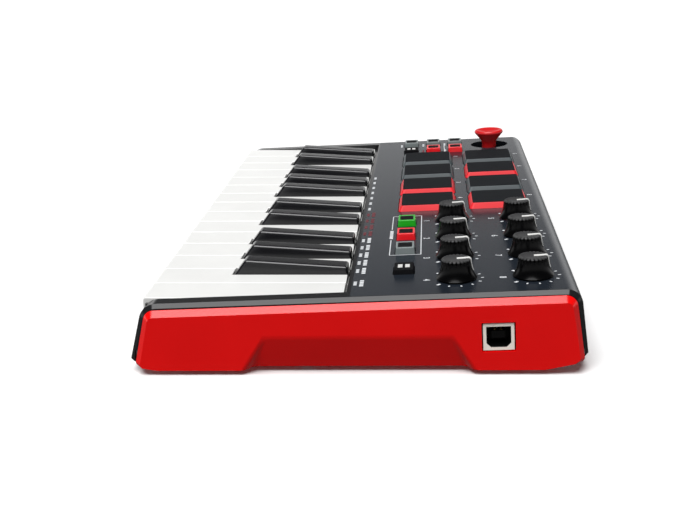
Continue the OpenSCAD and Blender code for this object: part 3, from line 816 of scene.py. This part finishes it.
def make_pointer():
    """A ribbon laid over the knob from its centre to the rim and down the side."""
    path = [(0.3, KNOB_TOP - 0.2), (3.0, KNOB_TOP - 0.12), (KNOB_CAP_R - 0.75, KNOB_TOP + 0.02)]
    path += [(KNOB_CAP_R - 0.3, 8.3), (KNOB_CAP_R - 0.05, 7.9)]
    path += [(bell_radius(z), z) for z in (7.0, 6.0, 5.0, 4.2, 3.4)]
    widths = [1.0] * 5 + [0.95, 0.88, 0.8, 0.7, 0.6]
    bm = bmesh.new()
    y, z = path[0]
    ends = [
        bm.verts.new((side * POINTER_W / 2 * MM, y * MM, (z + POINTER_STAND) * MM)) for side in (-1, 1)
    ]
    edge = bm.edges.new(ends)
    for (y, z), share in zip(path[1:], widths[1:]):
        grown = bmesh.ops.extrude_edge_only(bm, edges=[edge])["geom"]
        ends = [g for g in grown if isinstance(g, bmesh.types.BMVert)]
        out = Vector((0, 1, 0)) if z < POINTER_BEND_Z else Vector((0, 0, 1))
        for vert in ends:
            side = 1 if vert.co.x > 0 else -1
            vert.co = Vector((side * POINTER_W * share / 2, y, z)) * MM + out * POINTER_STAND * MM
        edge = next(g for g in grown if isinstance(g, bmesh.types.BMEdge))
    bmesh.ops.recalc_face_normals(bm, faces=bm.faces)
    if sum(face.normal.z for face in bm.faces) < 0:
        bmesh.ops.reverse_faces(bm, faces=bm.faces)
    bmesh.ops.solidify(bm, geom=bm.faces, thickness=POINTER_THICKNESS * MM)
    bmesh.ops.recalc_face_normals(bm, faces=bm.faces)
    return bm


# %% Knobs
KNOB_COUNT = sum(1 for name in frame["nodes"] if name.startswith("knob_"))
for number in range(1, KNOB_COUNT + 1):
    name = f"knob_{number}"
    place = place_over(name)
    bell = face_knob(cut_flutes(spin_profile(knob_points(), SPIN_STEPS)))
    # The second material, on the top and the teeth, carries the painted sheen
    finish_piece(bell, f"{name}_bell", name, [KNOB, KNOB_SHEEN_FACE], place, node=name, sharp=50.0,
                 weighted=False)
    finish_piece(make_pointer(), f"{name}_pointer", name, POINTER, place, weighted=False)
print("knobs:", KNOB_COUNT)

# %% [markdown]
# ## Joystick
# The thumb cap is a mushroom: a dished top for the thumb, a rolled rim and a cone down to a thin neck. It is
# one spun profile, with more points where it curves, and a pin across its foot turns in the gimbal's ring.
# The ring itself stays as the CAD has it.

# %% Thumb cap
STICK_TOP = 9.2
stick_profile = [
    (0.0, -9.2), (3.0, -9.2), (3.0, -3.6), (3.6, -3.0), (4.3, -2.4), (4.3, -0.5), (4.3, 1.2), (4.5, 2.0),
    (5.0, 2.9), (6.2, 4.5), (7.4, 6.0), (8.2, 6.9), (8.55, 7.3), (8.7, 7.7), (8.66, 8.2), (8.45, 8.7),
    (8.1, 9.05), (7.7, STICK_TOP), (7.2, 9.12), (6.0, 8.75), (4.5, 8.4), (3.0, 8.17), (1.5, 8.05), (0.0, 8.0),
]
PIN_R = 1.2
PIN_LENGTH = 16.4
PIN_Z = -7.0
stick_bm = spin_profile(stick_profile, 96)
pins = bmesh.new()
bmesh.ops.create_cone(pins, cap_ends=True, segments=24, radius1=PIN_R * MM, radius2=PIN_R * MM,
                      depth=PIN_LENGTH * MM)
bmesh.ops.rotate(pins, cent=(0, 0, 0), matrix=Matrix.Rotation(math.pi / 2, 3, "Y"), verts=pins.verts)
bmesh.ops.translate(pins, vec=(0, 0, PIN_Z * MM), verts=pins.verts)
join_bm(stick_bm, pins)
finish_piece(stick_bm, "thumb_stick", "joystick_stick", THUMB_RED, place_over("joystick_gimbal"),
             node="joystick_stick", sharp=45.0, weighted=False)
print("stick height above the panel, mm:", STICK_TOP)

# %% [markdown]
# ## USB socket
# The socket is a folded tin shell round a black insert. The hole has its two lower corners cut off, so that
# a plug only goes in one way up, and a tongue with four contacts stands inside it. The shell's
# front is the gap between two loops of edges, and each loop is carried back as a tube.

# %% Socket shell and insert
SOCKET_SIZE = Vector((12.0, 10.9))
SOCKET_WALL = 1.25
SOCKET_CUT = 1.7
HOLE_DEPTH = 9.0
TONGUE_LENGTH = 6.0
TONGUE_WIDTH = 5.4
TONGUE_HEIGHT = 3.0
TONGUE_BACK = 3.0
CONTACT_LENGTH = 4.4
CONTACT_BACK = 6.4
CONTACT_ROW = 1.25
CONTACT_Z = 1.52
low, high = [Vector(corner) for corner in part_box("usb_socket")]
socket_place = Matrix.Translation((low + high) / 2) @ Matrix.Rotation(PANEL_TILT, 4, "X")
SOCKET_LENGTH = (high.x - low.x) / MM


def add_loop(bm, corners):
    """A closed loop of edges through (y, z) corners on the socket's front plane."""
    verts = [bm.verts.new(Vector((SOCKET_LENGTH / 2, y, z)) * MM) for y, z in corners]
    return [bm.edges.new(pair) for pair in zip(verts, verts[1:] + verts[:1])]


def push_loop(bm, loop, depth, material):
    """Carries a loop of edges back by depth as a tube and closes its far end."""
    grown = bmesh.ops.extrude_edge_only(bm, edges=loop)["geom"]
    far_verts = [g for g in grown if isinstance(g, bmesh.types.BMVert)]
    bmesh.ops.translate(bm, vec=(-depth * MM, 0, 0), verts=far_verts)
    edges = [g for g in grown if isinstance(g, bmesh.types.BMEdge)]
    far_edges = [edge for edge in edges if all(v in far_verts for v in edge.verts)]
    closed = bmesh.ops.contextual_create(bm, geom=far_edges)["faces"]
    for face in closed + [g for g in grown if isinstance(g, bmesh.types.BMFace)]:
        face.material_index = material


def make_socket():
    half_y, half_z = SOCKET_SIZE / 2
    in_y, in_z = half_y - SOCKET_WALL, half_z - SOCKET_WALL
    bm = bmesh.new()
    shell_loop = add_loop(bm, [
        (-half_y, -half_z), (half_y, -half_z), (half_y, half_z), (-half_y, half_z),
    ])
    hole_loop = add_loop(bm, [
        (-in_y, in_z), (in_y, in_z), (in_y, -in_z + SOCKET_CUT), (in_y - SOCKET_CUT, -in_z),
        (-in_y + SOCKET_CUT, -in_z), (-in_y, -in_z + SOCKET_CUT),
    ])
    bmesh.ops.triangle_fill(bm, edges=shell_loop + hole_loop, use_beauty=True, use_dissolve=False)
    # The hole's walls take the insert's black as painted shade inside the tin shell; its far end is the real black
    # insert
    push_loop(bm, hole_loop, HOLE_DEPTH, 1)
    push_loop(bm, shell_loop, SOCKET_LENGTH, 0)
    bmesh.ops.recalc_face_normals(bm, faces=bm.faces)
    return bm


def make_tongue():
    half = TONGUE_HEIGHT / 2
    bm = make_block(TONGUE_LENGTH, TONGUE_WIDTH, -half, half, 0, 0, 0.3, 2)
    middle_x = SOCKET_LENGTH / 2 - TONGUE_BACK - TONGUE_LENGTH / 2
    bmesh.ops.translate(bm, vec=(middle_x * MM, 0, 0), verts=bm.verts)
    return bm


def make_contacts():
    bm = bmesh.new()
    for side in (-1, 1):
        for row in (-CONTACT_ROW, CONTACT_ROW):
            strip = make_block(CONTACT_LENGTH, 1.0, -0.1, 0.1)
            middle = Vector((SOCKET_LENGTH / 2 - CONTACT_BACK, row, side * CONTACT_Z))
            bmesh.ops.translate(strip, vec=middle * MM, verts=strip.verts)
            join_bm(bm, strip)
    return bm


finish_piece(make_socket(), "socket_shell", "case", [TIN, SOCKET_BLACK_AND_HOLE_SHADE], socket_place, node="usb_socket")
finish_piece(make_tongue(), "socket_tongue", "case", SOCKET_BLACK_AND_HOLE_SHADE, socket_place)
finish_piece(make_contacts(), "socket_contacts", "case", GOLD, socket_place)
print("socket length, mm:", round(SOCKET_LENGTH, 2))

# %% [markdown]
# ## Printed marks
# Scales, numbers and lines are screen printed on the panel: a film of ink a few hundredths of a millimetre
# thick. Each mark is a very thin slab laid on the surface, so it is real geometry that an export keeps.
# Words are replaced by rows of small dashes, and only plain numbers are written out.

# %% Ink helpers
INK = 0.05
DASH_HEIGHT = 1.5
DASH_SHARE = 0.72


def add_bar(bm, place, x, y, size_x, size_y, turn=0.0):
    """One slab of ink on a surface whose frame is place; sizes in millimetres."""
    bar = make_block(size_x, size_y, 0.0, INK)
    spot = Matrix.Translation((x * MM, y * MM, 0)) @ Matrix.Rotation(turn, 4, "Z")
    bmesh.ops.transform(bar, matrix=place @ spot, verts=bar.verts)
    join_bm(bm, bar)


def add_dashes(bm, place, x, y, count, pitch, height=DASH_HEIGHT):
    """A row of dashes that stands for a word, centred at x, y; pitch is the step between dashes."""
    for k in range(count):
        add_bar(bm, place, x + (k - (count - 1) / 2) * pitch, y, pitch * DASH_SHARE, height)


def add_number(bm, place, x, y, text, height=2.8):
    """A number in the plain built-in font, made a mesh and laid on the surface."""
    curve = bpy.data.curves.new("number", "FONT")
    curve.body = text
    curve.size = height * 1.4 * MM
    curve.extrude = INK / 2 * MM
    curve.offset = 0.06 * MM
    curve.align_x = "CENTER"
    curve.align_y = "CENTER"
    letter = bpy.data.objects.new("number", curve)
    mesh = bpy.data.meshes.new_from_object(letter)
    mesh.transform(place @ Matrix.Translation((x * MM, y * MM, INK / 2 * MM)))
    bm.from_mesh(mesh)
    bpy.data.objects.remove(letter)
    bpy.data.curves.remove(curve)
    bpy.data.meshes.remove(mesh)


# %% Marks round the knobs
TICK_R = 10.3
TICK_COUNT = 11
TICK_SWEEP = math.radians(270)
TICK_SIZE = (1.2, 0.65)
END_TICK_SIZE = (1.7, 1.1)
KNOB_NUMBER_X = 0.7
KNOB_NUMBER_Y = -12.2
white_ink = bmesh.new()
red_ink = bmesh.new()
for number in range(1, KNOB_COUNT + 1):
    place = place_over(f"knob_{number}")
    for k in range(TICK_COUNT):
        angle = math.pi / 2 - TICK_SWEEP / 2 + TICK_SWEEP * k / (TICK_COUNT - 1)
        size = END_TICK_SIZE if k in (0, TICK_COUNT - 1) else TICK_SIZE
        add_bar(white_ink, place, TICK_R * math.cos(angle), TICK_R * math.sin(angle), *size, angle)
    add_number(white_ink, place, KNOB_NUMBER_X, KNOB_NUMBER_Y, str(number))
print("tick marks:", KNOB_COUNT * TICK_COUNT)

# %% Numbers of the pads
PAD_NUMBER_X = -10.5
PAD_NUMBER_Y = PAD_TOP_SIZE.y / 2 + 3.6
for number in range(1, PAD_COUNT + 1):
    add_number(white_ink, place_over(f"pad_{number}"), PAD_NUMBER_X, PAD_NUMBER_Y, str(number), 2.4)

# %% Marks over the keys
# A mark stands over each of the upper seventeen keys, black and white, from the highest key down. The
# first six have a second, longer mark in white, the next four are faint and red, and the rest stand alone.
SHORT_ROW_Y = -0.8 * MM
LONG_ROW_Y = 1.8 * MM
MARKED_KEYS = 17
LONG_MARKS = 10
FIRST_RED = 6
# An octave has 12 keys in the width of 7 white ones
KEY_STEP_SHARE = 7 / 12
FIRST_GAP = 0.45


def key_middle(number):
    low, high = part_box(f"white_key_{number}")
    return (low[0] + high[0]) / 2


key_step = (key_middle(2) - key_middle(1)) * KEY_STEP_SHARE
for k in range(MARKED_KEYS):
    x = key_middle(WHITE_COUNT) - (0 if k == 0 else key_step * (k + FIRST_GAP))
    ink = red_ink if FIRST_RED <= k < LONG_MARKS else white_ink
    add_dashes(ink, panel_place(x, SHORT_ROW_Y), 0, 0, 3, 1.7, 1.3)
    if k < LONG_MARKS:
        add_dashes(ink, panel_place(x, LONG_ROW_Y), 0, 0, 4, 2.1, 1.6)

# %% Frame round the three lit buttons
LINE = 0.4
FRAME_LEFT = 13.1
FRAME_RIGHT = 6.4
FRAME_DEPTH = 13.6
# Half of the gap that the frame's front line leaves for its word
WORD_HALF = 9
first, last = (place_over(f"button_{n}") for n in (7, 9))
start, end = first.translation.x / MM - FRAME_LEFT, last.translation.x / MM + FRAME_RIGHT
middle = panel_place((start + end) / 2 * MM, first.translation.y)
span = end - start
add_bar(white_ink, middle, 0, FRAME_DEPTH / 2, span, LINE)
for side in (-1, 1):
    add_bar(white_ink, middle, side * span / 2, 0, LINE, FRAME_DEPTH)
    front_x = side * (span / 4 + WORD_HALF / 2)
    add_bar(white_ink, middle, front_x, -FRAME_DEPTH / 2, span / 2 - WORD_HALF, LINE)
add_dashes(white_ink, middle, 0, -FRAME_DEPTH / 2, 7, 2.0)

# %% Lines and words round the left-hand buttons
SHORT_LINE = 26
LINE_SHIFT = 3
WORD_Y = -6.3
gap_y = (place_over("button_1").translation.y + place_over("button_3").translation.y) / 2
line_x = place_over("button_2").translation.x - LINE_SHIFT * MM
add_bar(white_ink, panel_place(line_x, gap_y), 0, 0, SHORT_LINE, LINE)
for number, ink in ((2, white_ink), (4, red_ink), (5, white_ink), (3, white_ink), (1, white_ink)):
    add_dashes(ink, place_over(f"button_{number}"), 0, WORD_Y, 4, 1.9, 1.1)

finish_piece(white_ink, "panel_print_white", "case", PRINT_WHITE, weighted=False)
finish_piece(red_ink, "panel_print_red", "case", PRINT_RED, weighted=False)

# %% Words on the two black buttons
for number in range(1, BUTTON_COUNT + 1):
    name = f"button_{number}"
    if subparts[name] != "button_black":
        continue
    words = bmesh.new()
    on_top = place_over(name) @ Matrix.Translation((0, 0, (PLAIN_HEIGHT - 0.02) * MM))
    for row in (-1.5, 1.5):
        add_dashes(words, on_top, 0, row, 3, 1.5, 1.9)
    finish_piece(words, f"{name}_words", name, POINTER, weighted=False)

# %% [markdown]
# ## Carried-over parts
# The parts that are mostly hidden keep their CAD shape and only take a better finish.

# %% Dress the CAD nodes that stay
for node, material in {
    "rubber_feet": FOOT_RUBBER, "case_screws": STEEL, "circuit_boards": BOARD,
    "key_frame": FRAME_GRAY, "joystick_gimbal": ACETAL,
}.items():
    mesh = frame["nodes"][node].data
    mesh.materials.clear()
    mesh.materials.append(material)
    print(node, "wears", material.name)
